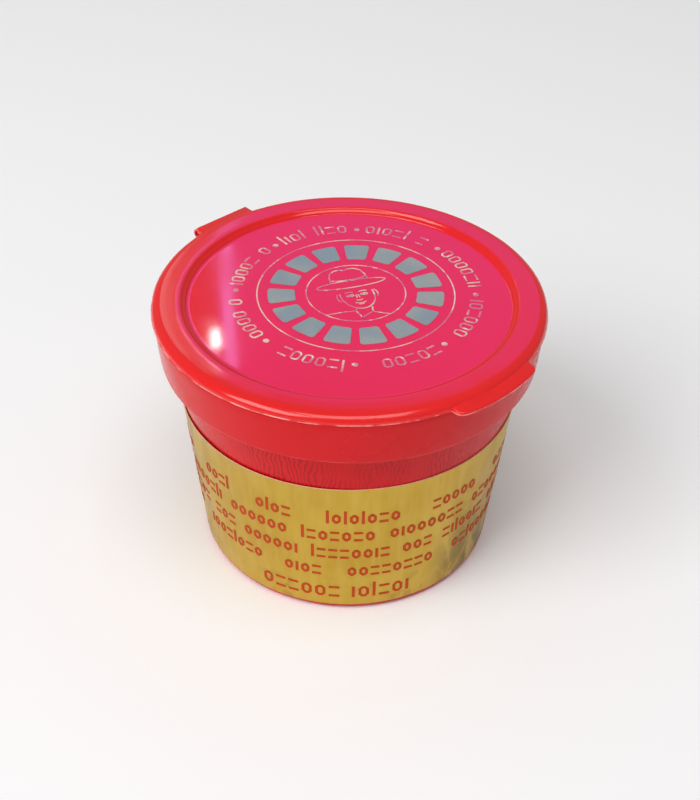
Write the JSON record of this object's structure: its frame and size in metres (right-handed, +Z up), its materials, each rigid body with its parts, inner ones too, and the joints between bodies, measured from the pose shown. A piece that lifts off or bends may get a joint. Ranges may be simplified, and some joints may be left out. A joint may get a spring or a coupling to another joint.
{
  "type": "rosin cake in a hinged plastic tub",
  "caption": "Round tapered plastic tub with a hinged snap lid and a foil label, holding a cake of bow rosin in a pleated paper cup.",
  "frame": {"origin": "on the tub's axis, in the plane of the standing ring that it rests on", "axes": "+Z up along the tub's axis; -Y towards the thumb tab; +Y towards the living hinge; +X to the right of someone facing the thumb tab"},
  "size_m": [0.052, 0.0551, 0.0381],
  "materials": {
    "tub_plastic": "moulded",
    "lid_plastic": "glossy",
    "hinge_plastic": "moulded",
    "label_foil": "gold foil face",
    "cup_paper": "waxed",
    "rosin": "glassy"
  },
  "bodies": {
    "tub": {"tub": "tub_plastic", "label": "label_foil", "hinge_web": "hinge_plastic"},
    "lid": {"lid": "lid_plastic"},
    "contents": {"paper_cup": "cup_paper", "rosin_cake": "rosin"}
  },
  "joints": [
    {"name": "lid_hinge", "type": "hinge", "parent": "tub", "child": "lid", "pos_m": [0, 0.02741, 0.0368], "axis": [-1, 0, 0], "range_deg": [0, 180], "deforming": ["hinge_web"]},
    {"name": "cup_lift", "type": "slide", "parent": "tub", "child": "contents", "axis": [0, 0, 1], "range_m": [0, 0.004]}
  ]
}
